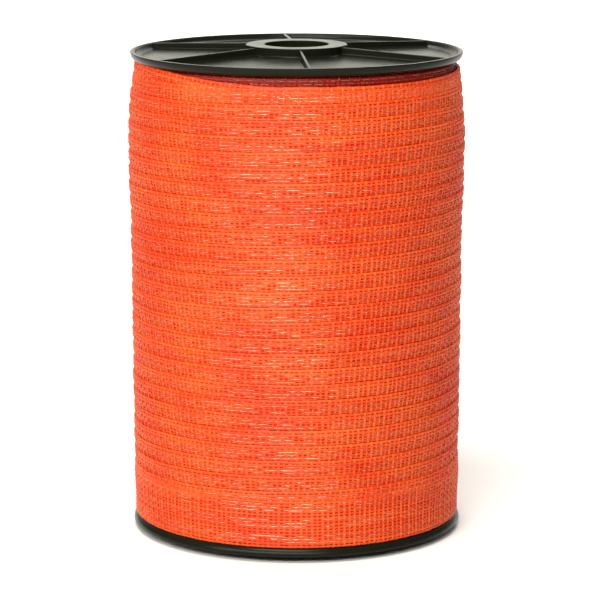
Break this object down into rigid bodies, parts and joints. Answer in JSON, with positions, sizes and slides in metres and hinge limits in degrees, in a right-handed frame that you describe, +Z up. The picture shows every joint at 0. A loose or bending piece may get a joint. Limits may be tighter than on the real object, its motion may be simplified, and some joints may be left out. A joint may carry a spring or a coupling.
{
  "type": "spool of electric fence tape",
  "caption": "Spool of woven electric fence tape: overlapping turns wound between two ribbed plastic flanges with a central bore, standing on its end.",
  "frame": {"origin": "on the spool's axis, in the face of the lower hub ring that the spool stands on", "axes": "+Z up along the spool's axis, -Y towards the front"},
  "size_m": [0.131, 0.131, 0.1918],
  "materials": {
    "spool_plastic": "satin black moulded plastic",
    "woven_tape": "open weave of orange plastic yarns with fine bright wires"
  },
  "bodies": {
    "root": {"upper_flange": "spool_plastic", "lower_flange": "spool_plastic", "core_tube": "spool_plastic", "tape_winding": "woven_tape"}
  },
  "joints": []
}
